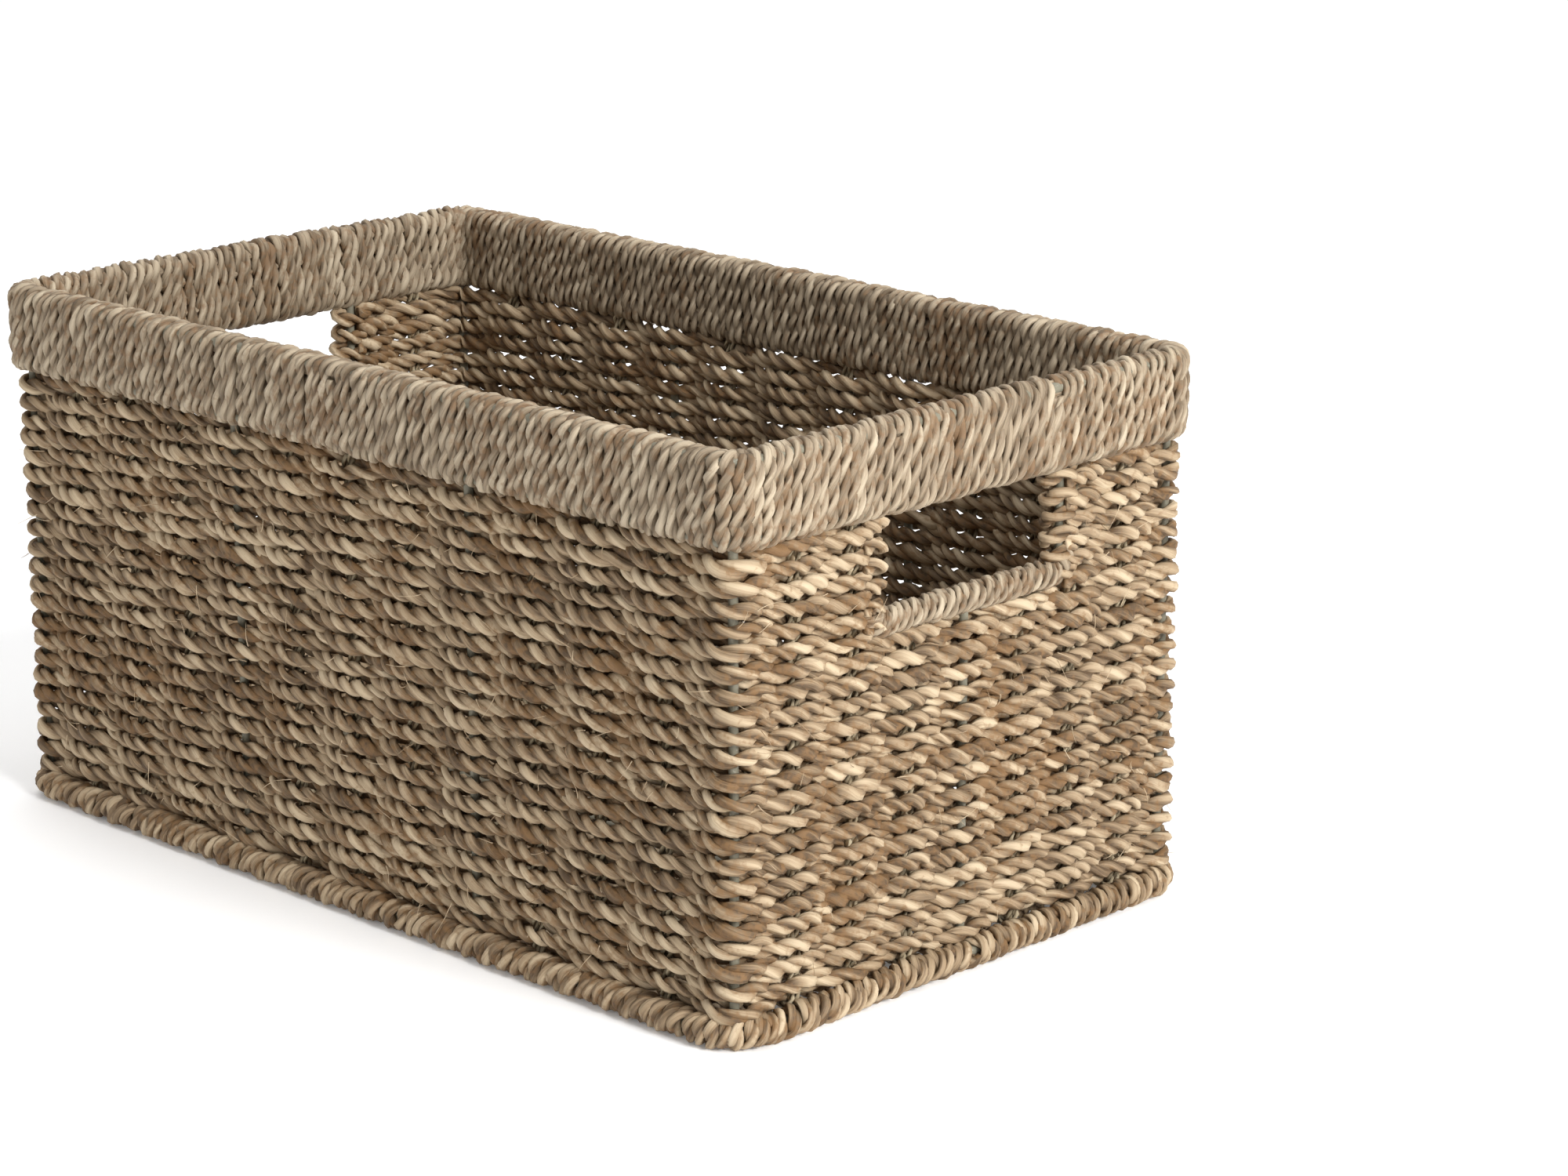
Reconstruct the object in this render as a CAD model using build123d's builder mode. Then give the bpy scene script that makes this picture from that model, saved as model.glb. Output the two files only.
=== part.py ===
from build123d import *
import os

# Seagrass storage basket: a wire frame with cord stakes, woven walls and floor, and wrapped edges.
# Millimetres, +Z up.  The origin is at the middle of the footprint, on the ground.

# Overall size
length = 384
width = 229
height = 195

# Wire frame
ring_wire = 4.0
upright_wire = 3.2
foot_corner_radius = 15
rim_corner_radius = 9
wire_marks = (-2, 2)

# Cord stakes, each a doubled cord, evenly spaced along the walls
stake_width = 5.6
long_wall_spaces = 12
end_wall_spaces = 8

# Woven wall and floor
wall_thickness = 10.4
wall_corner_radius = 8
floor_cover = 1.0

# Wrapped foot that the basket stands on
foot_wrap_thickness = 3.2
foot_rounding = 3.4

# Wrapped rim band
rim_height = 32
rim_thickness = 11.4
rim_overhang = 2.0
rim_flat = 3.0
rim_cover = 1.8

# Hand hole in each end wall, with a wrapped bar under it and a wrapped grip over it
hole_width = 76
hole_height = 31
hole_edge_turn = 9
handle_bar_wrap = 3.2
handle_corner_radius = 6
grip_flat = 1.0

# Play between a wire or stake and the cord worked round it
fit_gap = 0.1

# Smallest radius that an inner corner of a woven or wrapped edge turns through
least_radius = 1.0

# Places that follow from those sizes
foot_size = ring_wire + 2 * foot_wrap_thickness
ring_inset = foot_size / 2
upright_offset = (ring_wire + upright_wire) / 2
stake_inset = ring_inset + upright_offset
wall_outer_inset = stake_inset - wall_thickness / 2
wall_inner_inset = stake_inset + wall_thickness / 2
floor_inset = stake_inset + upright_wire / 2 + 2 * fit_gap
wall_foot = foot_size
stake_depth = upright_wire - fit_gap
floor_thickness = 2 * (upright_wire + floor_cover)
long_run = wall_foot - floor_cover - upright_wire / 2
cross_run = long_run - upright_wire
base_ring_z = foot_size / 2
rim_rounding = (rim_thickness - rim_flat) / 2
grip_rounding = (rim_thickness - grip_flat) / 2
rim_bottom = height - rim_height
rim_top_z = height - rim_cover - ring_wire / 2
rim_lower_z = rim_bottom + rim_cover + ring_wire / 2
rim_inner_inset = wall_outer_inset - rim_overhang + rim_thickness
rim_inner_radius = max(rim_corner_radius + ring_inset - rim_inner_inset, least_radius)
hole_bottom = rim_bottom - hole_height
bar_size = upright_wire + 2 * handle_bar_wrap
bar_z = hole_bottom - bar_size / 2
bar_wrap_bottom = hole_bottom - bar_size
handle_half = hole_width / 2 + hole_edge_turn
upright_top = rim_top_z + ring_wire / 2
cord_top = rim_lower_z + ring_wire / 2

stake_x = length / 2 - stake_inset
stake_y = width / 2 - stake_inset
long_wall_spacing = 2 * stake_x / long_wall_spaces
end_wall_spacing = 2 * stake_y / end_wall_spaces
long_half = long_wall_spaces // 2
end_half = end_wall_spaces // 2
cord_marks = [mark for mark in range(1 - long_half, long_half) if mark not in wire_marks]
end_marks = [mark for mark in range(1 - end_half, end_half) if mark != 0]
corner_bottom = base_ring_z + ring_wire / 2
corner_diagonal = (rim_corner_radius - upright_offset) / 2**0.5
corner_x = length / 2 - ring_inset - rim_corner_radius + corner_diagonal
corner_y = width / 2 - ring_inset - rim_corner_radius + corner_diagonal
corner_places = [(side * corner_x, face * corner_y) for side in (-1, 1) for face in (-1, 1)]


def is_under_hole(mark):
    """True for an end stake that would run into a hand hole or its wire frame."""
    frame_edge = handle_half + upright_wire / 2 + fit_gap
    return abs(mark) * end_wall_spacing - stake_width / 2 < frame_edge


def end_stake_top(mark):
    """The stakes under a hand hole stop below its bar; the others reach the rim."""
    return bar_wrap_bottom if is_under_hole(mark) else cord_top


def ring_path(z, corner_radius):
    """The line that a wire ring follows."""
    x = length / 2 - ring_inset
    y = width / 2 - ring_inset
    corners = [(x, -y, z), (x, y, z), (-x, y, z), (-x, -y, z)]
    return FilletPolyline(*corners, radius=corner_radius, close=True)


def ring_plane(z):
    """The plane of a ring's section, in the middle of the right end."""
    return Plane(origin=(length / 2 - ring_inset, 0, z), x_dir=(1, 0, 0), z_dir=(0, 1, 0))


def wire_ring(z, corner_radius, gap=0):
    """One of the three closed rings of the frame; a gap makes the channel that it lies in."""
    with BuildPart() as ring:
        with BuildLine():
            ring_path(z, corner_radius)
        with BuildSketch(ring_plane(z)):
            Circle(ring_wire / 2 + gap)
        sweep()
    return ring


def foot_ring():
    """The wrapped foot as a closed ring, flat underneath."""
    with BuildPart() as ring:
        with BuildLine():
            ring_path(base_ring_z, foot_corner_radius)
        with BuildSketch(ring_plane(base_ring_z)):
            RectangleRounded(foot_size, foot_size, foot_rounding)
        sweep()
    return ring


def across(x, run, top, is_wire, gap=0):
    """A wire or cord stake bent down the front wall, across the floor and up the back wall."""
    points = [(x, -stake_y, top), (x, -stake_y, run), (x, stake_y, run), (x, stake_y, top)]
    with BuildPart() as stake:
        with BuildLine():
            FilletPolyline(*points, radius=wall_foot - run)
        with BuildSketch(Plane(origin=points[0], x_dir=(1, 0, 0), z_dir=(0, 0, -1))):
            if is_wire:
                Circle(upright_wire / 2 + gap)
            else:
                SlotOverall(stake_width + 2 * gap, stake_depth + 2 * gap)
        sweep()
    return stake


def lengthwise(y, run, top, is_wire, gap=0):
    """A wire or cord stake bent down the left end, along the floor and up the right end."""
    points = [(-stake_x, y, top), (-stake_x, y, run), (stake_x, y, run), (stake_x, y, top)]
    with BuildPart() as stake:
        with BuildLine():
            FilletPolyline(*points, radius=wall_foot - run)
        with BuildSketch(Plane(origin=points[0], x_dir=(0, 1, 0), z_dir=(0, 0, -1))):
            if is_wire:
                Circle(upright_wire / 2 + gap)
            else:
                SlotOverall(stake_width + 2 * gap, stake_depth + 2 * gap)
        sweep()
    return stake


def handle_frame(side, gap=0):
    """A wire bent round the sides and bottom of a hand hole, hung from the rim rings."""
    x = side * stake_x
    points = [
        (x, -handle_half, upright_top),
        (x, -handle_half, bar_z),
        (x, handle_half, bar_z),
        (x, handle_half, upright_top),
    ]
    with BuildPart() as frame:
        with BuildLine():
            FilletPolyline(*points, radius=handle_corner_radius)
        with BuildSketch(Plane(origin=points[0], x_dir=(1, 0, 0), z_dir=(0, 0, -1))):
            Circle(upright_wire / 2 + gap)
        sweep()
    return frame


def every_bent_stake(gap):
    """All wires and cords that run under the floor, as solids grown by a gap."""
    stakes = []
    for mark in wire_marks:
        stakes.append(across(mark * long_wall_spacing, cross_run, upright_top, True, gap).part)
    for mark in cord_marks:
        stakes.append(across(mark * long_wall_spacing, cross_run, cord_top, False, gap).part)
    for mark in end_marks:
        top = end_stake_top(mark)
        stakes.append(lengthwise(mark * end_wall_spacing, long_run, top, False, gap).part)
    stakes.append(lengthwise(0, long_run, bar_z - upright_wire / 2, True, gap).part)
    return stakes


def wire_outlines(mode):
    """Sections of the upright wires that reach the rim, drawn in the current sketch."""
    places = list(corner_places)
    for wall in (-1, 1):
        places += [(mark * long_wall_spacing, wall * stake_y) for mark in wire_marks]
    with Locations(*places):
        Circle(upright_wire / 2 + fit_gap, mode=mode)


def cord_outlines(marks_at_ends, mode):
    """Sections of the cord stakes in the long walls and of the given ones in the end walls."""
    slot = (stake_width + 2 * fit_gap, stake_depth + 2 * fit_gap)
    for wall in (-1, 1):
        with Locations(*[(mark * long_wall_spacing, wall * stake_y) for mark in cord_marks]):
            SlotOverall(*slot, mode=mode)
        with Locations(*[(wall * stake_x, mark * end_wall_spacing) for mark in marks_at_ends]):
            SlotOverall(*slot, rotation=90, mode=mode)


def wall_section(marks_at_ends):
    """The woven wall seen from above, with the holes for its stakes."""
    inner_radius = max(wall_corner_radius - wall_thickness, least_radius)
    wall_x = length - 2 * wall_outer_inset
    wall_y = width - 2 * wall_outer_inset
    RectangleRounded(wall_x, wall_y, wall_corner_radius)
    inner_x = length - 2 * wall_inner_inset
    inner_y = width - 2 * wall_inner_inset
    RectangleRounded(inner_x, inner_y, inner_radius, mode=Mode.SUBTRACT)
    wire_outlines(Mode.SUBTRACT)
    cord_outlines(marks_at_ends, Mode.SUBTRACT)


def upper_weave(face):
    """The woven wall beside the hand holes, from one hole round to the other."""
    frame_channels = [handle_frame(side, fit_gap).part for side in (-1, 1)]
    with BuildPart() as weave:
        with BuildSketch(Plane.XY.offset(bar_wrap_bottom)):
            wall_section(rim_marks)
            with Locations((0, face * (hole_width + width) / 2)):
                Rectangle(length, width, mode=Mode.INTERSECT)
        extrude(amount=rim_bottom - bar_wrap_bottom)
        add(frame_channels, mode=Mode.SUBTRACT)
    return weave


def rim_channels():
    """The space inside the rim taken by the rings and by the tops of all uprights."""
    channels = [wire_ring(z, rim_corner_radius, fit_gap).part for z in (rim_top_z, rim_lower_z)]
    channels += [handle_frame(side, fit_gap).part for side in (-1, 1)]
    with BuildPart() as wire_tops:
        with BuildSketch(Plane.XY.offset(rim_bottom)):
            wire_outlines(Mode.ADD)
        extrude(amount=upright_top - rim_bottom + fit_gap)
    with BuildPart() as cord_tops:
        with BuildSketch(Plane.XY.offset(rim_bottom)):
            cord_outlines(rim_marks, Mode.ADD)
        extrude(amount=cord_top - rim_bottom + fit_gap)
    return channels + [wire_tops.part, cord_tops.part]


def rim_wrap(face):
    """Cord wound round the rim rings, from one grip round to the other."""
    x = length / 2 - rim_inner_inset
    y = width / 2 - rim_inner_inset
    z = height - rim_height / 2
    start = face * hole_width / 2
    points = [(-x, start, z), (-x, face * y, z), (x, face * y, z), (x, start, z)]
    channels = rim_channels()
    with BuildPart() as wrap:
        with BuildLine():
            FilletPolyline(*points, radius=rim_inner_radius)
        with BuildSketch(Plane(origin=points[0], x_dir=(1, 0, 0), z_dir=(0, face, 0))):
            with Locations((-rim_thickness / 2, 0)):
                RectangleRounded(rim_thickness, rim_height, rim_rounding)
        sweep()
        add(channels, mode=Mode.SUBTRACT)
    return wrap


def grip_wrap(side):
    """Cord wound straight round the rim over a hand hole."""
    middle = length / 2 - rim_inner_inset + rim_thickness / 2
    origin = (side * middle, 0, height - rim_height / 2)
    channels = [wire_ring(z, rim_corner_radius, fit_gap).part for z in (rim_top_z, rim_lower_z)]
    with BuildPart() as wrap:
        with BuildSketch(Plane(origin=origin, x_dir=(1, 0, 0), z_dir=(0, 1, 0))):
            RectangleRounded(rim_thickness, rim_height, grip_rounding)
        extrude(amount=hole_width / 2, both=True)
        add(channels, mode=Mode.SUBTRACT)
    return wrap


def handle_bar_wrap_at(side):
    """Cord wound round the bar under a hand hole."""
    with BuildPart() as wrap:
        with BuildSketch(Plane(origin=(side * stake_x, 0, bar_z), z_dir=(0, 1, 0))):
            Circle(bar_size / 2)
            Circle(upright_wire / 2 + fit_gap, mode=Mode.SUBTRACT)
        extrude(amount=hole_width / 2, both=True)
        with BuildSketch(Plane.XY.offset(bar_wrap_bottom)):
            with Locations((side * stake_x, 0)):
                Circle(upright_wire / 2 + fit_gap)
        extrude(amount=handle_bar_wrap, mode=Mode.SUBTRACT)
    return wrap


def save(piece, name):
    """Label a finished piece and write it."""
    piece.part.label = name
    export_step(piece.part, f"parts/{name}.step")


rim_marks = [mark for mark in end_marks if not is_under_hole(mark)]

os.makedirs("parts", exist_ok=True)

# Closed wire rings at the foot and in the rim
save(wire_ring(base_ring_z, foot_corner_radius), "base_ring_wire")
save(wire_ring(rim_lower_z, rim_corner_radius), "rim_lower_wire")
save(wire_ring(rim_top_z, rim_corner_radius), "rim_top_wire")

# Wires bent under the floor, and a straight wire in each corner
for side_name, mark in zip(("left", "right"), wire_marks):
    cross_wire = across(mark * long_wall_spacing, cross_run, upright_top, True)
    save(cross_wire, f"cross_wire_{side_name}")
save(lengthwise(0, long_run, bar_z - upright_wire / 2, True), "length_wire")

corner_names = ("front_left", "back_left", "front_right", "back_right")
for corner_name, place in zip(corner_names, corner_places):
    with BuildPart() as corner_wire:
        with BuildSketch(Plane.XY.offset(corner_bottom)):
            with Locations(place):
                Circle(upright_wire / 2)
        extrude(amount=upright_top - corner_bottom)
    save(corner_wire, f"corner_wire_{corner_name}")

# Cord stakes, numbered from left to right and from front to back
for number, mark in enumerate(cord_marks, start=1):
    save(across(mark * long_wall_spacing, cross_run, cord_top, False), f"cross_cord_{number}")
for number, mark in enumerate(end_marks, start=1):
    end_cord = lengthwise(mark * end_wall_spacing, long_run, end_stake_top(mark), False)
    save(end_cord, f"length_cord_{number}")

# Hand holes: frame, wrapped bar and wrapped grip at each end
for side_name, side in (("left", -1), ("right", 1)):
    save(handle_frame(side), f"handle_frame_{side_name}")
    save(handle_bar_wrap_at(side), f"handle_bar_wrap_{side_name}")
    save(grip_wrap(side), f"grip_wrap_{side_name}")

# Cord worked round the base ring and the feet of the stakes
foot_solid = foot_ring().part
foot_channels = [wire_ring(base_ring_z, foot_corner_radius, fit_gap).part]
foot_channels += every_bent_stake(fit_gap)
with BuildPart() as foot_wrap:
    add(foot_solid)
    add(foot_channels, mode=Mode.SUBTRACT)
    with BuildSketch(Plane.XY.offset(corner_bottom - fit_gap)):
        with Locations(*corner_places):
            Circle(upright_wire / 2 + fit_gap)
    extrude(amount=foot_size, mode=Mode.SUBTRACT)
save(foot_wrap, "foot_wrap")

# Woven floor, worked over the runs of wire and cord
floor_channels = every_bent_stake(fit_gap)
with BuildPart() as floor_weave:
    with BuildSketch(Plane.XY.offset(wall_foot - floor_thickness)):
        floor_x = length - 2 * floor_inset
        floor_y = width - 2 * floor_inset
        RectangleRounded(floor_x, floor_y, foot_corner_radius + ring_inset - floor_inset)
    extrude(amount=floor_thickness)
    add(floor_channels, mode=Mode.SUBTRACT)
save(floor_weave, "floor_weave")

# Woven wall: one closed band up to the hand holes, and one part on each side of them
with BuildPart() as lower_wall_weave:
    with BuildSketch(Plane.XY.offset(wall_foot)):
        wall_section(end_marks)
        with Locations((-stake_x, 0), (stake_x, 0)):
            Circle(upright_wire / 2 + fit_gap, mode=Mode.SUBTRACT)
    extrude(amount=bar_wrap_bottom - wall_foot)
save(lower_wall_weave, "lower_wall_weave")

for face_name, face in (("front", -1), ("back", 1)):
    save(upper_weave(face), f"upper_weave_{face_name}")
    save(rim_wrap(face), f"rim_wrap_{face_name}")
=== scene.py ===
import math

import bpy
import numpy as np
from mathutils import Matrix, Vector


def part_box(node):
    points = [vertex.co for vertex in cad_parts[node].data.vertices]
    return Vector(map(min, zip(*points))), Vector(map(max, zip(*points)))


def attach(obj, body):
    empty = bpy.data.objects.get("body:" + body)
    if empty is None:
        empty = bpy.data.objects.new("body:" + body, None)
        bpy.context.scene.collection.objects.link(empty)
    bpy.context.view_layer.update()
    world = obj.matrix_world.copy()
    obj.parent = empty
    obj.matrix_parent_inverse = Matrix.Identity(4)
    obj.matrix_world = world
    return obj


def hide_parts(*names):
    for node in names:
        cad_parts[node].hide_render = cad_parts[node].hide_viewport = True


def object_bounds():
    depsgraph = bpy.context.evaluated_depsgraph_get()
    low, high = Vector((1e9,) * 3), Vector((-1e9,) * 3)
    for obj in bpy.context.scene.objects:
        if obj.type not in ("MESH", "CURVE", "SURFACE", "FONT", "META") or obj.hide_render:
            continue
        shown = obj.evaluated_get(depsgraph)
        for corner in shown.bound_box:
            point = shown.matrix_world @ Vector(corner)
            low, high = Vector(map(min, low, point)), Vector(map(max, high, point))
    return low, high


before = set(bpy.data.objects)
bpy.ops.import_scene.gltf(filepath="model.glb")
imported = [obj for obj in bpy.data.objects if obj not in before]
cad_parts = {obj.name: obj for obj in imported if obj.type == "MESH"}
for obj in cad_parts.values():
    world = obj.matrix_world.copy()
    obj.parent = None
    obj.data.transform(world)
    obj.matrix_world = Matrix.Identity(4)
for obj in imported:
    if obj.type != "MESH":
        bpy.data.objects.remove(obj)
cad_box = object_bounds()
dice = np.random.default_rng(7)

# ---------------------------------------------------------------------------------------------
# The wire frame.  Steel wire, bent and welded, with matt grey-olive paint that is worn and
# dusty.  Its rings, uprights and hand-hole frames carry all the woven work, and show through it.
# ---------------------------------------------------------------------------------------------


class Socket:
    """A shader value that can be written in expressions."""

    def __init__(self, tree, socket):
        self.tree, self.socket = tree, socket

    def node(self, kind, settings=None, inputs=None, output=0):
        """Adds a node, sets its settings, then its sockets, and returns one of its outputs."""
        made = self.tree.nodes.new(kind)
        for name, value in (settings or {}).items():
            if name == "stops":
                ramp = made.color_ramp
                while len(ramp.elements) < len(value):
                    ramp.elements.new(0.5)
                for element, (place, colour) in zip(ramp.elements, value):
                    element.position = place
                    element.color = (*colour, 1)
            else:
                setattr(made, name, value)
        for name, value in (inputs or {}).items():
            if isinstance(value, Socket):
                self.tree.links.new(value.socket, made.inputs[name])
            else:
                made.inputs[name].default_value = value
        return Socket(self.tree, made.outputs[output])

    def maths(self, operation, other=None, swap=False):
        sides = (other, self) if swap else (self, other)
        values = {k: v for k, v in enumerate(sides) if v is not None}
        return self.node("ShaderNodeMath", {"operation": operation}, values)

    def __add__(self, other):
        return self.maths("ADD", other)

    def __radd__(self, other):
        return self.maths("ADD", other, swap=True)

    def __sub__(self, other):
        return self.maths("SUBTRACT", other)

    def __rsub__(self, other):
        return self.maths("SUBTRACT", other, swap=True)

    def __mul__(self, other):
        return self.maths("MULTIPLY", other)

    def __rmul__(self, other):
        return self.maths("MULTIPLY", other, swap=True)


def blend_colours(share, first, second):
    """Mixes two colours by a share."""
    return share.node(
        "ShaderNodeMix",
        {"data_type": "RGBA"},
        {0: share, 6: first, 7: second},
        output=2,
    )


def new_material(name):
    """A node material, with its shader node and a first socket to build expressions from."""
    material = bpy.data.materials.new(name)
    material.use_nodes = True
    shader = material.node_tree.nodes["Principled BSDF"]
    return material, shader, Socket(material.node_tree, None)


def feed(value, shader, socket):
    value.tree.links.new(value.socket, shader.inputs[socket])


painted_wire, shader, start = new_material("painted_wire")
place = start.node("ShaderNodeTexCoord", output=3)
mottle = start.node("ShaderNodeTexNoise", inputs={"Vector": place, "Scale": 240, "Detail": 4})
wear = start.node("ShaderNodeTexNoise", inputs={"Vector": place, "Scale": 900, "Detail": 2})
worn = wear.node("ShaderNodeValToRGB", {"stops": [(0.62, (0, 0, 0)), (0.74, (1, 1, 1))]}, {0: wear})
paint = blend_colours(mottle, (0.14, 0.13, 0.09, 1), (0.24, 0.22, 0.16, 1))
feed(blend_colours(worn, paint, (0.32, 0.31, 0.26, 1)), shader, "Base Color")
feed(0.42 + mottle * 0.25, shader, "Roughness")
bump = start.node("ShaderNodeBump", inputs={"Height": mottle, "Strength": 0.15, "Distance": 0.0002})
feed(bump, shader, "Normal")

wire_nodes = ["base_ring_wire", "rim_lower_wire", "rim_top_wire", "length_wire"]
wire_nodes += [f"cross_wire_{side}" for side in ("left", "right")]
wire_nodes += [f"handle_frame_{side}" for side in ("left", "right")]
wire_nodes += [f"corner_wire_{face}_{side}" for face in ("front", "back") for side in ("left", "right")]
for node in wire_nodes:
    for place_on_wire in bpy.data.objects[node].material_slots:
        place_on_wire.material = painted_wire

# Where the uprights stand, read from the frame
wire_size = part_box("cross_wire_left")[1].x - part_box("cross_wire_left")[0].x
stake_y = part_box("cross_wire_left")[1].y - wire_size / 2
stake_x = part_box("length_wire")[1].x - wire_size / 2


def middle(node):
    low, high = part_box(node)
    return (low + high) / 2


# ---------------------------------------------------------------------------------------------
# Seagrass cord.  Two plies of dried leaf blades, laid up to the right.  Each ply is a bundle of
# flat blades, so it is ridged along its length and changes tone where a new blade comes in.
# ---------------------------------------------------------------------------------------------

ply_sides = 7
full_turn = 2 * math.pi


def smooth_noise(count, spacing, reach, size):
    """Random values along a cord, smooth over a reach, for points that are spacing apart."""
    knots = max(int(count * spacing / reach) + 4, 5)
    values = dice.normal(0, size, knots)
    t = np.linspace(1, knots - 2.001, count)
    i = t.astype(int)
    f = t - i
    f = f * f * (3 - 2 * f)
    return values[i] * (1 - f) + values[i + 1] * f


def even_points(points, step, closed=False):
    """The same line with evenly spaced points, near the given step apart."""
    if closed:
        points = np.vstack([points, points[:1]])
    runs = np.linalg.norm(np.diff(points, axis=0), axis=1)
    along = np.concatenate([[0], np.cumsum(runs)])
    count = max(int(round(along[-1] / step)), 4)
    targets = np.linspace(0, along[-1], count + 1)
    line = np.column_stack([np.interp(targets, along, points[:, k]) for k in range(3)])
    return (line[:-1] if closed else line), along[-1] / count


def frames_along(line, up, closed):
    """Tangents and two square directions for each point of a line."""
    if closed:
        tangent = np.roll(line, -1, 0) - np.roll(line, 1, 0)
    else:
        tangent = np.gradient(line, axis=0)
    tangent /= np.linalg.norm(tangent, axis=1)[:, None] + 1e-12
    side = np.cross(up, tangent)
    side /= np.linalg.norm(side, axis=1)[:, None] + 1e-12
    return tangent, side, np.cross(tangent, side)


class Strands:
    """Collects the plies of many cords and turns them into one mesh."""

    def __init__(self):
        self.points, self.faces, self.tones, self.runs = [], [], [], []
        self.count = 0

    def ply(self, line, side, top, widths, heights, phase, tone, closed, painted_groove_shade=2.0):
        """One ply: a ridged tube along a line, with painted shade on the side pressed to the other ply.
        """
        n, m = len(line), ply_sides
        turn = np.arange(m) * (full_turn / m)
        ridge = 1 + 0.10 * np.cos(3 * turn + 0.6) + 0.05 * np.cos(5 * turn)
        angle = turn[None, :] + phase[:, None] * (1 if closed else 0.5)
        across = np.cos(angle) * ridge[None, :] * widths[:, None]
        along_top = np.sin(angle) * ridge[None, :] * heights[:, None]
        ring = line[:, None] + side[:, None] * across[..., None] + top[:, None] * along_top[..., None]
        first = self.count
        self.points.append(ring.reshape(-1, 3))
        rows = n if closed else n - 1
        i = np.arange(rows)[:, None]
        j = np.arange(m)[None, :]
        nxt = (i + 1) % n
        quads = np.stack(
            [i * m + j, i * m + (j + 1) % m, nxt * m + (j + 1) % m, nxt * m + j], axis=-1
        )
        self.faces.append((first + quads).reshape(-1, 4))
        step = np.linalg.norm(np.diff(line, axis=0), axis=1).mean()
        self.runs.append((rows, step, float(np.mean(widths)) * full_turn))
        # Painted shade: the tone is lowered on the side of the ply that faces the other ply, in the
        # groove between them.
        groove_shade_mask = 0.5 - 0.5 * np.cos(angle - phase[:, None])
        self.tones.append((tone[:, None] - painted_groove_shade * groove_shade_mask).ravel())
        self.count += n * m
        if not closed:
            for end in (0, n - 1):
                tip = self.count
                self.points.append(line[end : end + 1])
                # The tip at a ply's end gets half the painted groove shade.
                self.tones.append(tone[end : end + 1] - painted_groove_shade * 0.5)
                self.count += 1
                base = first + end * m
                loop = [base + k for k in range(m)]
                order = loop if end == 0 else loop[::-1]
                fans = [(order[(k + 1) % m], order[k], tip, tip) for k in range(m)]
                self.faces.append(np.array(fans))
                self.runs.append((1, step, float(widths[end])))

    def cord(self, points, size, lay, step, up):
        """Two plies twisted round each other along a line of points."""
        line, spacing = even_points(np.asarray(points, float), step)
        n = len(line)
        _, side, top = frames_along(line, up, False)
        turns = n * spacing / lay
        phase = np.arange(n) / n * turns * full_turn + dice.uniform(0, 6.28)
        phase = phase + smooth_noise(n, spacing, lay * 2.5, 0.55)
        for ply in (0, math.pi):
            radius = size * 0.275 * (1 + smooth_noise(n, spacing, lay * 0.8, 0.084))
            out = size * 0.235 * (1 + smooth_noise(n, spacing, lay, 0.06))
            angle = phase + ply
            centre = line + side * (np.cos(angle) * out)[:, None]
            centre = centre + top * (np.sin(angle) * out)[:, None]
            blades = smooth_noise(n, spacing, lay * 1.1, 0.5)
            self.ply(centre, side, top, radius, radius, angle, blades, False)

    def build(self, name, material, replaced):
        """Makes the mesh object, rides it on the basket and hides the parts it stands for."""
        points = np.vstack(self.points)
        faces = np.vstack(self.faces)
        tones = np.concatenate(self.tones)
        fan = faces[:, 2] == faces[:, 3]
        sizes = np.where(fan, 3, 4)
        corners = faces[np.arange(4)[None, :] < sizes[:, None]]
        mesh = bpy.data.meshes.new(name)
        mesh.vertices.add(len(points))
        mesh.vertices.foreach_set("co", points.astype(np.float32).ravel())
        mesh.loops.add(len(corners))
        mesh.loops.foreach_set("vertex_index", corners.astype(np.int32))
        mesh.polygons.add(len(faces))
        starts = np.concatenate([[0], np.cumsum(sizes)[:-1]])
        mesh.polygons.foreach_set("loop_start", starts.astype(np.int32))
        mesh.polygons.foreach_set("use_smooth", np.ones(len(faces), bool))
        mesh.update(calc_edges=True)
        # The tone attribute holds each blade's tone with the painted groove shade taken off it.
        tone = mesh.attributes.new("tone", "FLOAT", "POINT")
        tone.data.foreach_set("value", tones.astype(np.float32))
        self.lay_out(mesh, fan, sizes)
        mesh.materials.append(material)
        piece = bpy.data.objects.new(name, mesh)
        bpy.context.scene.collection.objects.link(piece)
        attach(piece, "root")
        if replaced:
            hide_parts(*replaced)

    def lay_out(self, mesh, fan, sizes):
        """Each ply is a strip: one map in metres for the fibres, and one packed for baking."""
        fibre, packed = [], []
        total = sum(rows * step * girth for rows, step, girth in self.runs)
        row_length = max(math.sqrt(total) * 1.06, 1e-6)
        shelf, used, tall = 0.0, 0.0, 0.0
        places = []
        for rows, step, girth in self.runs:
            left = rows
            done = 0
            while left > 0:
                fits = int((row_length - used) / step)
                if fits < 1:
                    shelf, used, tall = shelf + tall, 0.0, 0.0
                    fits = int(row_length / step) + 1
                take = min(left, fits)
                places.append((done, take, used, shelf, step, girth))
                used += take * step
                tall = max(tall, girth * 1.04)
                left -= take
                done += take
        span = max(shelf + tall, row_length * 1.02)
        m = ply_sides
        length_done = 0.0
        for done, take, used, shelf, step, girth in places:
            i = np.arange(take)[:, None]
            j = np.arange(m)[None, :]
            u = np.stack([i + 0 * j, i + 0 * j, i + 1 + 0 * j, i + 1 + 0 * j], -1) * step
            v = np.stack([j + 0 * i, j + 1 + 0 * i, j + 1 + 0 * i, j + 0 * i], -1) * (girth / m)
            packed.append(np.stack([(used + u) / span, (shelf + v) / span], -1).reshape(-1, 4, 2))
            fibre.append(np.stack([u + length_done, v + shelf], -1).reshape(-1, 4, 2))
            length_done += take * step
        keep = np.arange(4)[None, :] < sizes[:, None]
        for name, parts in (("Fibre", fibre), ("OFBake", packed)):
            corners = np.vstack(parts)[keep]
            layer = mesh.uv_layers.new(name=name)
            layer.uv.foreach_set("vector", corners.astype(np.float32).ravel())


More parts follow.
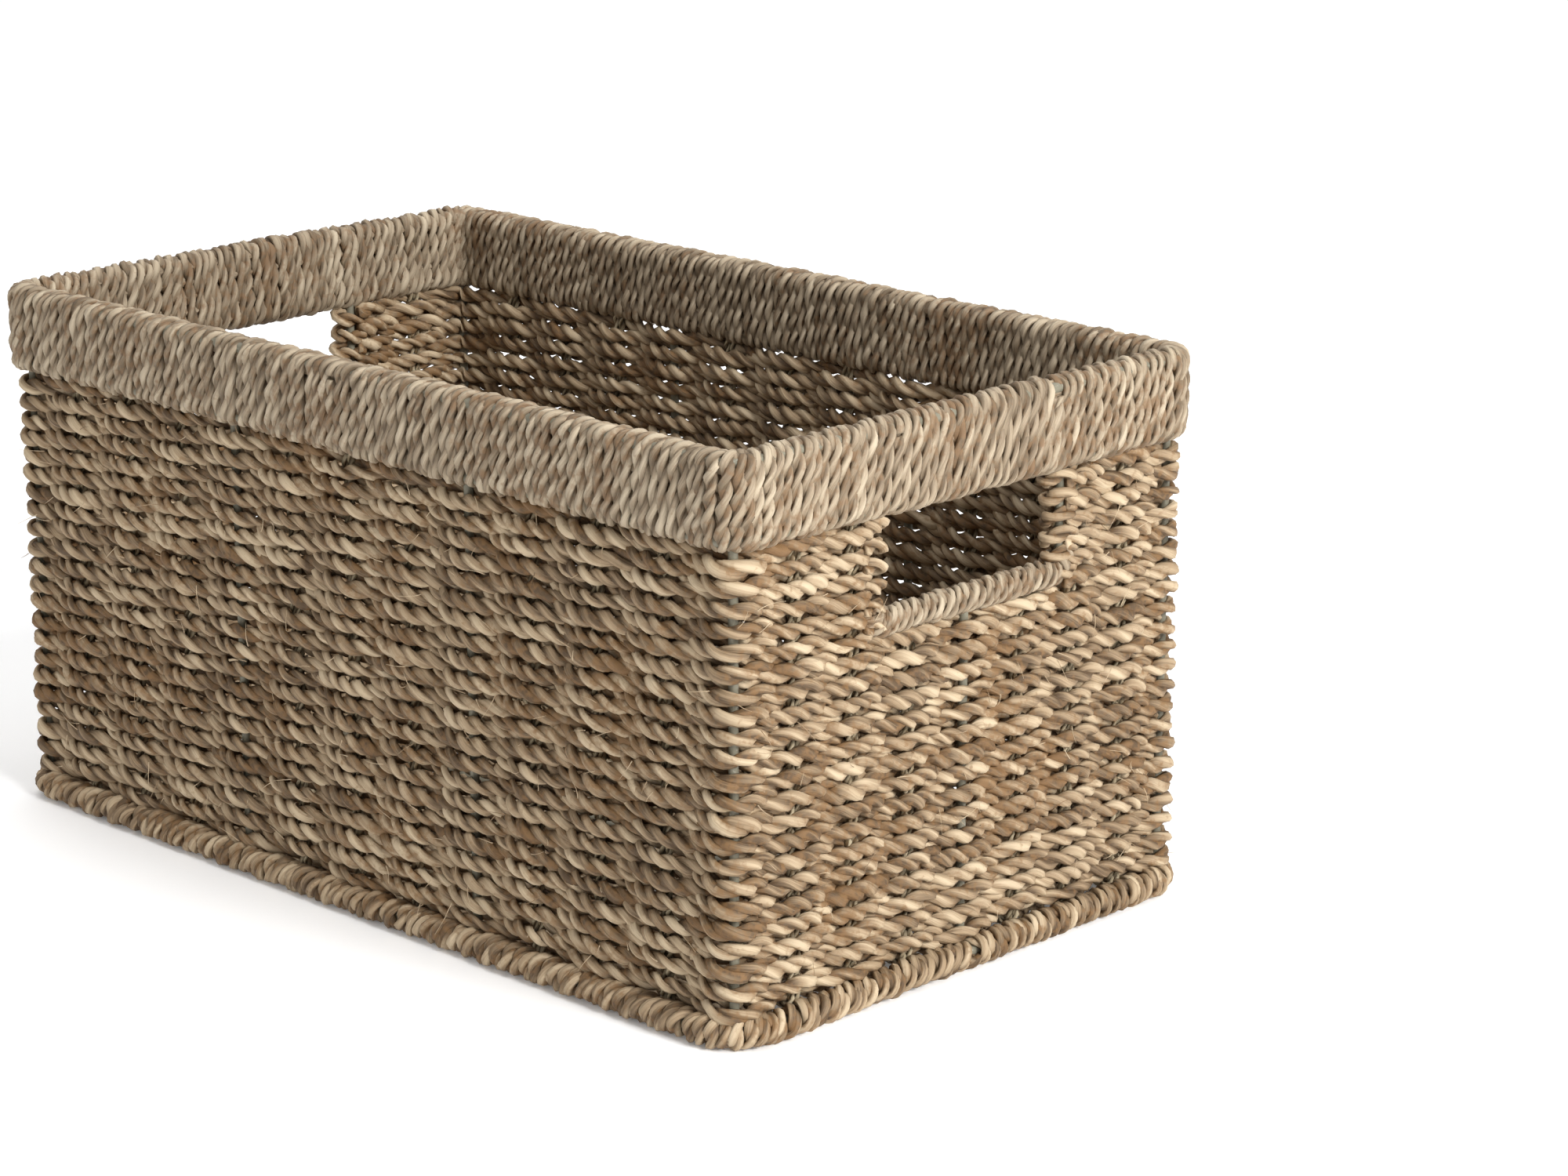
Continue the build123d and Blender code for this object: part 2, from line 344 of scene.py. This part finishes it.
def seagrass(name, dark, mid, light, brown):
    """Dried leaf: fine ridges along the ply, blades of several tones, and brown flecks."""
    material, shader, start = new_material(name)
    along = start.node("ShaderNodeUVMap", {"uv_map": "Fibre"})
    # The tone attribute brings the blades' tone and the painted shade in the grooves between plies.
    tone = start.node("ShaderNodeAttribute", {"attribute_name": "tone"}, output=2)
    place = start.node("ShaderNodeTexCoord", output=3)
    stretch = along.node("ShaderNodeMapping", inputs={"Vector": along, "Scale": (90, 2600, 1)})
    ridges = start.node("ShaderNodeTexNoise", inputs={"Vector": stretch, "Scale": 1, "Detail": 3})
    broad = along.node("ShaderNodeMapping", inputs={"Vector": along, "Scale": (60, 520, 1)})
    blades = start.node("ShaderNodeTexNoise", inputs={"Vector": broad, "Scale": 1, "Detail": 2})
    flecks = start.node("ShaderNodeTexNoise", inputs={"Vector": place, "Scale": 420, "Detail": 3})
    patches = start.node("ShaderNodeTexNoise", inputs={"Vector": place, "Scale": 26, "Detail": 2})
    level = 0.62 + tone * 0.27 + (blades - 0.5) * 1.1 + (ridges - 0.5) * 0.5
    stops = [(0.1, dark), (0.5, mid), (0.92, light)]
    colour = level.node("ShaderNodeValToRGB", {"stops": stops}, {0: level})
    brownness = start.node(
        "ShaderNodeMapRange",
        inputs={
            "Value": flecks + patches * 0.6 - tone * 0.08,
            "From Min": 0.86,
            "From Max": 1.08,
            "To Min": 0.0,
            "To Max": 0.75,
        },
    )
    feed(blend_colours(brownness, colour, (*brown, 1)), shader, "Base Color")
    feed(0.55 + ridges * 0.25, shader, "Roughness")
    height = ridges * 0.55 + blades * 0.9
    bump = start.node("ShaderNodeBump", inputs={"Height": height, "Strength": 0.75, "Distance": 0.0005})
    feed(bump, shader, "Normal")
    shader.inputs["Specular IOR Level"].default_value = 0.35
    return material


weft_leaf = seagrass(
    "weft_leaf", (0.10, 0.062, 0.032), (0.33, 0.235, 0.14), (0.55, 0.435, 0.29), (0.22, 0.12, 0.048)
)
stake_leaf = seagrass(
    "stake_leaf", (0.10, 0.075, 0.04), (0.30, 0.24, 0.15), (0.50, 0.42, 0.28), (0.20, 0.12, 0.05)
)
wrap_leaf = seagrass(
    "wrap_leaf", (0.13, 0.092, 0.055), (0.315, 0.245, 0.165), (0.49, 0.405, 0.29), (0.22, 0.13, 0.065)
)

# ---------------------------------------------------------------------------------------------
# Cord stakes.  Two thin cords side by side, bent down one wall, under the floor and up the
# other.  They stand between the wires, and the rows of weft pass in front of and behind them.
# ---------------------------------------------------------------------------------------------

stake_cord_size = 0.0029
stake_lay = 0.0085
stake_step = 0.0014
cross_bend = 0.0058
length_bend = 0.0026
cross_cords = [f"cross_cord_{k}" for k in range(1, 10)]
length_cords = [f"length_cord_{k}" for k in range(1, 7)]


def bent_run(half, top, run, bend):
    """Down, round a bend, along and up again, as points in a plane."""
    quarter = np.linspace(0, math.pi / 2, 8)
    down = [(-half, top), (-half, run + bend + 0.02)]
    left = [(-half + bend * (1 - math.cos(a)), run + bend * (1 - math.sin(a))) for a in quarter]
    right = [(-x, z) for x, z in reversed(left)]
    up = [(-x, z) for x, z in reversed(down)]
    return np.array(down + left + right + up)


for node in cross_cords + length_cords:
    low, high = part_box(node)
    crossing = node in cross_cords
    half = (high.y if crossing else high.x) - wire_size / 2
    run = low.z + wire_size / 2
    flat = bent_run(half, high.z, run, cross_bend if crossing else length_bend)
    strands = Strands()
    for offset in (-1, 1):
        shift = middle(node)[0 if crossing else 1] + offset * stake_cord_size * 0.48
        fixed = np.full(len(flat), shift)
        columns = (fixed, flat[:, 0], flat[:, 1]) if crossing else (flat[:, 0], fixed, flat[:, 1])
        up = np.array([1.0, 0, 0]) if crossing else np.array([0, 1.0, 0])
        strands.cord(np.column_stack(columns), stake_cord_size, stake_lay, stake_step, up)
    strands.build(f"{node}_strands", stake_leaf, [node])

# ---------------------------------------------------------------------------------------------
# Woven wall.  Rows of two-ply cord, each passing in front of one upright and behind the next,
# and the next row the other way about.  Below the hand holes a row goes all the way round.
# ---------------------------------------------------------------------------------------------

row_pitch = 0.0035
weft_size = 0.0058
weft_lay = 0.0165
weft_step = 0.00135
weft_reach = 0.0028
corner_turn = 0.0048
upward = np.array([0, 0, 1.0])

foot_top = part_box("foot_wrap")[1].z
hole_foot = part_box("upper_weave_front")[0].z
rim_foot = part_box("rim_wrap_front")[0].z
uprights = []
for node in cross_cords + ["cross_wire_left", "cross_wire_right"]:
    for face in (-1, 1):
        uprights.append((middle(node).x, face * stake_y))
for node in length_cords + ["length_wire"]:
    for face in (-1, 1):
        uprights.append((face * stake_x, middle(node).y))
for face in ("front", "back"):
    for side in ("left", "right"):
        uprights.append(tuple(middle(f"corner_wire_{face}_{side}"))[:2])


def wall_line(step):
    """The middle line of the wall, once round from the middle of the right end."""
    x, y, r = stake_x, stake_y, corner_turn
    quarter = np.linspace(0, math.pi / 2, 9)
    corners = [(x - r, y - r, 0), (-x + r, y - r, 1), (-x + r, -y + r, 2), (x - r, -y + r, 3)]
    points = [(x, 0.0)]
    for cx, cy, turns in corners:
        for a in quarter + turns * math.pi / 2:
            points.append((cx + r * math.cos(a), cy + r * math.sin(a)))
    points = np.array([(px, py, 0.0) for px, py in points])
    return even_points(points, step, closed=True)[0]


round_line = wall_line(weft_step)
round_tangent, round_side, _ = frames_along(round_line, upward, True)
outward = -round_side


def nearest_mark(place):
    """The number of the point of the wall line that is nearest to a place."""
    return int(np.argmin(np.linalg.norm(round_line[:, :2] - np.array(place), axis=1)))


marks = sorted(nearest_mark(place) for place in uprights)
round_count = len(round_line)


def weave_wave(parity):
    """How far a row stands out of the wall's middle line: +1 in front, -1 behind."""
    signs = np.array([1 if (k + parity) % 2 == 0 else -1 for k in range(len(marks))], float)
    spots = np.array(marks, float)
    spots = np.concatenate([[spots[-1] - round_count], spots, [spots[0] + round_count]])
    signs = np.concatenate([[signs[-1]], signs, [signs[0]]])
    here = np.arange(round_count)
    i = np.searchsorted(spots, here, side="right") - 1
    i = np.clip(i, 0, len(spots) - 2)
    f = (here - spots[i]) / (spots[i + 1] - spots[i])
    f = np.clip((f - 0.05) / 0.90, 0, 1)
    f = 0.6 * f + 0.4 * (0.5 - 0.5 * np.cos(math.pi * f))
    return signs[i] * (1 - f) + signs[i + 1] * f


waves = [weave_wave(0), weave_wave(1)]
drift_knots = dice.normal(0, 1, (60, 30))


def row_drift(row):
    """Slow rise and fall of a row, shared with the rows next to it."""
    t = np.linspace(0, 60, round_count, endpoint=False)
    i = t.astype(int)
    f = t - i
    f = f * f * (3 - 2 * f)
    r = row / 3.0
    k = int(r)
    g = r - k
    table = drift_knots[:, k % 30] * (1 - g) + drift_knots[:, (k + 1) % 30] * g
    return table[i % 60] * (1 - f) + table[(i + 1) % 60] * f


def weft_row(strands, row, z, first, last):
    """One row of weft between two places on the wall line."""
    index = np.arange(first, last) % round_count
    count = len(index)
    wave = waves[row % 2][index]
    depth = wave * weft_reach + smooth_noise(count, weft_step, 0.02, 0.00018)
    lift = z + 0.00035 * row_drift(row)[index] + smooth_noise(count, weft_step, 0.022, 0.00022)
    line = round_line[index] + outward[index] * depth[:, None]
    line[:, 2] = lift
    front = np.abs(wave)
    weft_cord(strands, line, 0.92 - 0.08 * front, 0.95 + 0.07 * front)


def weft_cord(strands, line, flat_side, flat_top):
    """A weft cord on evenly spaced points, squashed by how much is given at each of them."""
    n = len(line)
    _, side, top = frames_along(line, upward, False)
    lay = weft_lay * dice.uniform(0.86, 1.14)
    size = weft_size * dice.uniform(0.92, 1.06)
    shade = dice.normal(0, 0.35)
    phase = np.arange(n) * weft_step / lay * full_turn + dice.uniform(0, 6.28)
    phase = phase + smooth_noise(n, weft_step, 0.03, 0.7)
    swell_all = 1 + smooth_noise(n, weft_step, 0.03, 0.07)
    for ply in (0, math.pi):
        radius = size * 0.33 * swell_all * (1 + smooth_noise(n, weft_step, 0.008, 0.12))
        out = size * 0.205 * (1 + smooth_noise(n, weft_step, 0.012, 0.09))
        angle = phase + ply
        centre = line + side * (np.cos(angle) * out * flat_side)[:, None]
        centre = centre + top * (np.sin(angle) * out * flat_top)[:, None]
        blades = shade + smooth_noise(n, weft_step, 0.013, 0.75)
        strands.ply(centre, side, top, radius * flat_side, radius * flat_top, angle, blades, False)


lower_rows = int((hole_foot - foot_top) / row_pitch)
upper_rows = 12
upper_pitch = (rim_foot - hole_foot) / upper_rows
rows_in_piece = 4
strands = Strands()
group = 1
for row in range(lower_rows):
    z = foot_top + row_pitch * (row + 0.45)
    start_at = marks[(row * 7) % len(marks)] + 9
    weft_row(strands, row, z, start_at, start_at + round_count + 3)
    if (row + 1) % rows_in_piece == 0 or row == lower_rows - 1:
        strands.build(f"wall_rows_{group}", weft_leaf, ["lower_wall_weave"])
        strands = Strands()
        group += 1

# ---------------------------------------------------------------------------------------------
# Woven wall beside the hand holes.  The rows turn back round the wire frame of each hole, so
# the sides of a hole are a column of cord loops.
# ---------------------------------------------------------------------------------------------

frame_low, frame_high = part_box("handle_frame_right")
frame_half = (frame_high.y - frame_low.y) / 2 - wire_size / 2
loop_tail = 0.004
for face_name, face in (("front", -1), ("back", 1)):
    strands = Strands()
    near = nearest_mark((stake_x, face * frame_half))
    far = nearest_mark((-stake_x, face * frame_half))
    first, last = (near, far) if face == 1 else (far, near)
    if last < first:
        last += round_count
    replaced = [f"upper_weave_{face_name}"]
    for row in range(upper_rows):
        z = hole_foot + upper_pitch * (row + 0.45)
        weft_row(strands, lower_rows + row, z, first, last)
        if row == upper_rows // 2 or row == upper_rows - 1:
            half_name = "lower" if row == upper_rows // 2 else "upper"
            strands.build(f"{face_name}_{half_name}_rows", weft_leaf, replaced)
            strands = Strands()
    loops = Strands()
    for sign in (1, -1):
        for pair in range(upper_rows // 2):
            z = hole_foot + upper_pitch * (2 * pair + 0.45)
            away = wire_size / 2 + weft_size * 0.42 + abs(dice.normal(0, 0.0005))
            points = []
            for swing in np.linspace(-0.5, 0.5, 15) * math.pi:
                x = sign * (stake_x + weft_reach * math.sin(swing))
                y = face * (frame_half - away * 1.55 * math.cos(swing))
                points.append((x, y, z + row_pitch * (0.5 + swing / math.pi)))
            tail = np.array([0, face * loop_tail, 0])
            line = np.vstack([points[0] + tail, points, points[-1] + tail])
            loops.cord(line, weft_size * 0.96, weft_lay, weft_step, upward)
    loops.build(f"{face_name}_hole_loops", weft_leaf, replaced)

# ---------------------------------------------------------------------------------------------
# Wrapped rim.  One two-ply cord wound over and over round the two rim wires, turn beside turn,
# from one grip to the other.  The turns are a little uneven, and a few are slack or thick.
# ---------------------------------------------------------------------------------------------

rim_pitch = 0.0041
rim_cord_size = 0.0044
rim_lay = 0.0155
rim_step = 0.00135
rim_turn = 0.0069
rim_low, rim_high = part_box("rim_wrap_front")
grip_low, grip_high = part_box("grip_wrap_right")
rim_tall = rim_high.z - rim_low.z
rim_thick = grip_high.x - grip_low.x
rim_x = (grip_low.x + grip_high.x) / 2
rim_y = -rim_low.y - rim_thick / 2
grip_half = (grip_high.y - grip_low.y) / 2


def band_section(thick, tall, rounding):
    """Points once round a rounded rectangle, as offsets out of the wall and up."""
    w, h, r = thick / 2, tall / 2, rounding
    corners = [(w - r, h - r, 0), (-w + r, h - r, 1), (-w + r, -h + r, 2), (w - r, -h + r, 3)]
    points = []
    for cx, cy, turns in corners:
        for a in np.linspace(0, math.pi / 2, 7) + turns * math.pi / 2:
            points.append((cx + r * math.cos(a), cy + r * math.sin(a), 0))
    return even_points(np.array(points), 0.001, closed=True)[0][:, :2]


def wind(strands, path, outs, rises, section, pitch, size, lay, step, slack, tone=0.0):
    """Winds a cord round a band that follows a path, turn beside turn and a little uneven."""
    outer = path + outs * section[:, 0].max()
    along = np.concatenate([[0], np.cumsum(np.linalg.norm(np.diff(outer, axis=0), axis=1))])
    turns = int(round(along[-1] / pitch))
    pitch = along[-1] / turns
    count = len(section)
    total = turns * count
    t = np.arange(total) / count
    knots = np.arange(turns + 2)
    place = np.clip((t + np.interp(t, knots, dice.normal(0, 0.13, turns + 2))) * pitch, 0, along[-1])
    bulge = 1 + np.interp(t, knots, dice.normal(0, slack, turns + 2))
    hub, out, rise = (
        np.column_stack([np.interp(place, along, part[:, c]) for c in range(3)])
        for part in (path, outs, rises)
    )
    out /= np.linalg.norm(out, axis=1)[:, None]
    k = np.arange(total) % count
    points = hub + out * (section[k, 0] * bulge)[:, None]
    points += rise * (section[k, 1] * (0.7 + 0.3 * bulge))[:, None]
    line, spacing = even_points(points, step)
    n = len(line)
    at = np.linspace(0, total - 1, n)
    hub = np.column_stack([np.interp(at, np.arange(total), hub[:, c]) for c in range(3)])
    tangent = np.gradient(line, axis=0)
    tangent /= np.linalg.norm(tangent, axis=1)[:, None]
    top = line - hub
    top -= tangent * np.sum(top * tangent, axis=1)[:, None]
    top /= np.linalg.norm(top, axis=1)[:, None] + 1e-9
    side = np.cross(top, tangent)
    phase = np.arange(n) * spacing / lay * full_turn + smooth_noise(n, spacing, 0.03, 0.9)
    shade = np.interp(np.linspace(0, turns, n), knots, dice.normal(0, 0.3, turns + 2))
    for ply in (0, math.pi):
        swell = 1 + smooth_noise(n, spacing, 0.008, 0.09)
        away = 1 + smooth_noise(n, spacing, 0.012, 0.08)
        angle = phase + ply
        ply_line = line + side * (np.cos(angle) * away * size * 0.23)[:, None]
        ply_line += top * (np.sin(angle) * away * size * 0.17)[:, None]
        blades = tone + shade + smooth_noise(n, spacing, 0.012, 0.6)
        widths, heights = size * 0.36 * swell, size * 0.28 * swell
        strands.ply(ply_line, side, top, widths, heights, angle, blades, False)


def half_ring(x, y, z, radius, start, face):
    """Half of a rounded outline, from the left end round one face to the right end."""
    points = [(-x, start, z), (-x, y - radius, z)]
    outs = [(-1, 0, 0), (-1, 0, 0)]
    for a in np.linspace(0, math.pi / 2, 9):
        points.append((-x + radius * (1 - math.cos(a)), y - radius * (1 - math.sin(a)), z))
        outs.append((-math.cos(a), math.sin(a), 0))
    points.append((0, y, z))
    outs.append((0, 1, 0))
    points += [(-px, py, pz) for px, py, pz in reversed(points[:-1])]
    outs += [(-ox, oy, oz) for ox, oy, oz in reversed(outs[:-1])]
    points, outs = np.array(points, float), np.array(outs, float)
    points[:, 1] *= face
    outs[:, 1] *= face
    return points, outs, np.tile([0.0, 0.0, 1.0], (len(points), 1))


rim_inward = rim_cord_size * 0.66
rim_section = band_section(rim_thick - rim_inward, rim_tall - rim_inward, 0.0036)
rim_middle = rim_low.z + rim_tall / 2
for face_name, face in (("front", -1), ("back", 1)):
    ring = half_ring(rim_x, rim_y, rim_middle, rim_turn, grip_half, face)
    centre = len(ring[0]) // 2
    for side, part in (("left", slice(0, centre + 1)), ("right", slice(centre, None))):
        path, outs, rises = (line[part] for line in ring)
        strands = Strands()
        cord = (rim_pitch, rim_cord_size, rim_lay, rim_step)
        wind(strands, path, outs, rises, rim_section, *cord, 0.03)
        name = f"rim_winding_{face_name}_{side}"
        strands.build(name, wrap_leaf, [f"rim_wrap_{face_name}"])

# Under the winding, bundles of leaf lie along the rim and fill it out round the wires.
bundle_step = 0.004
halves = [half_ring(rim_x, rim_y, rim_middle, rim_turn, 0.0, face)[0] for face in (-1, 1)]
rim_line = np.vstack([halves[0][:-1], halves[1][::-1][:-1]])
rim_line = even_points(rim_line, bundle_step, closed=True)[0]
_, rim_side, rim_up = frames_along(rim_line, upward, True)
strands = Strands()
count = len(rim_line)
widths, heights, untwisted = (np.full(count, value) for value in (0.0041, 0.0036, 0.0))
for height in np.linspace(-0.0112, 0.0112, 5):
    bundle = rim_line + upward * height
    # Painted shade: the filling's tone is lowered by 0.9 so it shows dark in the gaps between the
    # turns, with a random tone on top.
    tone_and_gap_shade = smooth_noise(count, bundle_step, 0.03, 0.3) - 0.9
    strands.ply(bundle, rim_side, rim_up, widths, heights, untwisted, tone_and_gap_shade, True, 0)
strands.build("rim_filling", wrap_leaf, ["rim_wrap_front", "rim_wrap_back"])

# ---------------------------------------------------------------------------------------------
# Grips.  The rim over each hand hole, where fingers go, is wound separately, straighter and
# tighter, on a band a little fuller all round than the rest of the rim.
# ---------------------------------------------------------------------------------------------

grip_thick = rim_thick - rim_cord_size * 0.6
grip_tall = rim_tall - rim_cord_size * 0.5
grip_section = band_section(grip_thick, grip_tall, 0.0041)
for side_name, side in (("left", -1), ("right", 1)):
    path = np.array([(side * rim_x, y, rim_middle) for y in (-grip_half, grip_half)])
    outs = np.array([(side, 0.0, 0.0)] * 2)
    rises = np.array([(0, 0, 1.0)] * 2)
    strands = Strands()
    cord = (rim_pitch, rim_cord_size, rim_lay * 1.3, rim_step)
    wind(strands, path, outs, rises, grip_section, *cord, 0.045, -0.35)
    strands.build(f"grip_winding_{side_name}", wrap_leaf, [f"grip_wrap_{side_name}"])

# ---------------------------------------------------------------------------------------------
# Hand-hole bars.  The wire under each hole is wound with thinner two-ply cord, which turns up
# with the wire at both ends.
# ---------------------------------------------------------------------------------------------

bar_cord = 0.0038
bar_bend = 0.006
for side_name, side in (("left", -1), ("right", 1)):
    bar_low, bar_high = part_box(f"handle_bar_wrap_{side_name}")
    bar_size = bar_high.z - bar_low.z
    bar_wound = bar_size - bar_cord * 0.7
    bar_section = band_section(bar_wound, bar_wound, bar_size * 0.3)
    bar_z = (bar_low.z + bar_high.z) / 2
    path = [(side * stake_x, 0.0, bar_z)]
    rises = [(0.0, 0.0, 1.0)]
    for a in np.linspace(0, math.pi / 2, 9):
        y = frame_half - bar_bend * (1 - math.sin(a))
        path.append((side * stake_x, y, bar_z + bar_bend * (1 - math.cos(a))))
        rises.append((0.0, -math.sin(a), math.cos(a)))
    path = [(x, -y, z) for x, y, z in reversed(path[1:])] + path
    rises = [(x, -y, z) for x, y, z in reversed(rises[1:])] + rises
    outs = np.array([(side, 0.0, 0.0)] * len(path))
    strands = Strands()
    cord = (0.0035, bar_cord, 0.013, 0.0012)
    wind(strands, np.array(path), outs, np.array(rises), bar_section, *cord, 0.05, 0.1)
    name = f"bar_winding_{side_name}"
    strands.build(name, wrap_leaf, [f"handle_bar_wrap_{side_name}"])

# ---------------------------------------------------------------------------------------------
# Wrapped foot.  The ring wire at the bottom is wound with thicker, slacker two-ply cord, so it
# is plumper and rougher than the rim.
# ---------------------------------------------------------------------------------------------

foot_low, foot_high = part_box("foot_wrap")
foot_size = foot_high.z - foot_low.z
foot_x = foot_high.x - foot_size / 2
foot_y = foot_high.y - foot_size / 2
foot_cord = 0.0048
foot_turn = 0.015
foot_wound = foot_size - foot_cord * 0.7
foot_section = band_section(foot_wound, foot_wound, foot_size * 0.3)
for face_name, face in (("front", -1), ("back", 1)):
    path, outs, rises = half_ring(foot_x, foot_y, foot_size / 2, foot_turn, 0.0, face)
    strands = Strands()
    cord = (0.0045, foot_cord, 0.017, 0.0014)
    wind(strands, path, outs, rises, foot_section, *cord, 0.07, -0.1)
    strands.build(f"foot_winding_{face_name}", weft_leaf, ["foot_wrap"])

# ---------------------------------------------------------------------------------------------
# Woven floor.  Rows of weft run lengthwise, over and under the cross wires and cords, on both
# sides of the lengthwise cords that lie between them.
# ---------------------------------------------------------------------------------------------

floor_low, floor_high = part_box("floor_weave")
floor_middle = (floor_low.z + floor_high.z) / 2
floor_reach = 0.0020
floor_cord = 0.0044
floor_step = 0.0019
floor_margin = 0.003
floor_turn = 0.0097
cross_places = sorted(middle(n).x for n in cross_cords + ["cross_wire_left", "cross_wire_right"])
lengthwise = [middle(n).y for n in length_cords + ["length_wire"]]
floor_rows = int((floor_high.y - floor_low.y) / row_pitch)
strands = Strands()
group = 1
for row in range(floor_rows):
    y = floor_low.y + row_pitch * (row + 0.6)
    if min(abs(y - other) for other in lengthwise) < 0.0033:
        continue
    x = np.arange(floor_low.x + floor_margin, floor_high.x - floor_margin, floor_step)
    spots = np.array([x[0] - 0.01] + cross_places + [x[-1] + 0.01])
    signs = np.array([1 if (k + row) % 2 == 0 else -1 for k in range(len(spots))])
    wave = np.sin(np.interp(x, spots, signs) * math.pi / 2)
    corner_room = max(abs(y) - (floor_high.y - floor_turn), 0)
    keep = np.abs(x) < floor_high.x - floor_margin - corner_room
    line = np.column_stack([x, np.full(len(x), y), floor_middle + wave * floor_reach])[keep]
    strands.cord(line, floor_cord, weft_lay, floor_step, upward)
    if row % 14 == 13 or row == floor_rows - 1:
        strands.build(f"floor_rows_{group}", weft_leaf, ["floor_weave"])
        strands = Strands()
        group += 1

# ---------------------------------------------------------------------------------------------
# Stray fibres.  Split ends of leaf that stand out of the outside of the weave here and there,
# thin and curled, and rooted in the cords.
# ---------------------------------------------------------------------------------------------

strands = Strands()
fibre_count = 520
for fibre in range(fibre_count):
    k = int(dice.integers(0, round_count))
    z = dice.uniform(foot_top, rim_foot)
    x, y, _ = np.abs(round_line[k])
    if y < frame_half and x > stake_x - 0.002 and z > hole_foot - 0.006:
        continue
    root = round_line[k] + outward[k] * 0.0048
    way = outward[k] * dice.uniform(0.1, 0.9) + round_tangent[k] * dice.normal(0, 1)
    way = way + np.array([0, 0, dice.normal(0, 0.8)])
    way /= np.linalg.norm(way)
    reach = dice.uniform(0.003, 0.009)
    curl = dice.uniform(-0.6, 0.6, 3)
    t = np.linspace(0, 1, 6)[:, None]
    line = root + upward * z + way * reach * t + curl * reach * t * t * 0.5
    thin = 0.00016 * (1 - 0.7 * t[:, 0])
    _, side, top = frames_along(line, np.array([0.1, 0.2, 1.0]), False)
    tone = np.full(6, dice.normal(0.4, 0.8))
    strands.ply(line, side, top, thin, thin, np.zeros(6), tone, False, 0)
strands.build("stray_fibres", weft_leaf, [])

# ---------------------------------------------------------------------------------------------
# Studio.  A plain pale floor, a pale wall all round that only the camera sees, soft light from
# the right front, and the camera.
# ---------------------------------------------------------------------------------------------

low, high = cad_box
size = high - low
bpy.ops.mesh.primitive_plane_add(size=12, location=(0, 0, low.z - 0.0002))
floor = bpy.context.object
floor.name = "studio_floor"
floor_paint, shader, start = new_material("studio_white")
shader.inputs["Base Color"].default_value = (0.95, 0.95, 0.95, 1)
shader.inputs["Roughness"].default_value = 0.9
shader.inputs["Emission Color"].default_value = (1, 1, 1, 1)
shader.inputs["Emission Strength"].default_value = 0.1
floor.data.materials.append(floor_paint)

bpy.ops.mesh.primitive_cylinder_add(
    vertices=96, radius=5.8, depth=10, end_fill_type="NOTHING", location=(0, 0, low.z + 4.99)
)
backdrop = bpy.context.object
backdrop.name = "studio_backdrop"
backdrop.visible_diffuse = False
backdrop.visible_glossy = False
backdrop.visible_shadow = False
glow, shader, start = new_material("studio_glow")
shader.inputs["Base Color"].default_value = (0, 0, 0, 1)
shader.inputs["Emission Color"].default_value = (1, 1, 1, 1)
shader.inputs["Emission Strength"].default_value = 1
backdrop.data.materials.append(glow)

world = bpy.data.worlds.new("studio")
bpy.context.scene.world = world
world.use_nodes = True
world.node_tree.nodes["Background"].inputs[0].default_value = (1, 1, 1, 1)
world.node_tree.nodes["Background"].inputs[1].default_value = 0.36


def soft_lamp(name, place, width, power):
    """A large square lamp that faces the basket."""
    data = bpy.data.lights.new(name, "AREA")
    data.size = width
    data.energy = power
    lamp = bpy.data.objects.new(name, data)
    bpy.context.scene.collection.objects.link(lamp)
    lamp.location = place
    aim = Vector((0, 0, size.z / 2)) - lamp.location
    lamp.rotation_euler = aim.to_track_quat("-Z", "Y").to_euler()


soft_lamp("key", (2.2, -0.1, 1.3), 1.0, 74)
soft_lamp("fill", (-0.6, -2.4, 1.6), 2.0, 12)
soft_lamp("top", (-1.2, 1.2, 4.2), 6.0, 165)

camera_data = bpy.data.cameras.new("camera")
camera = bpy.data.objects.new("camera", camera_data)
bpy.context.scene.collection.objects.link(camera)
camera_data.sensor_width = 36
camera_data.lens = 93.9
camera.location = (1.0387, -0.9546, 0.4924)
azimuth, elevation = math.radians(44.48), math.radians(15.78)
level_look = Vector((-math.sin(azimuth), math.cos(azimuth), 0)) * math.cos(elevation)
look = level_look - Vector((0, 0, math.sin(elevation)))
camera.rotation_euler = look.to_track_quat("-Z", "Y").to_euler()
bpy.context.scene.camera = camera
bpy.context.scene.view_settings.view_transform = "Standard"
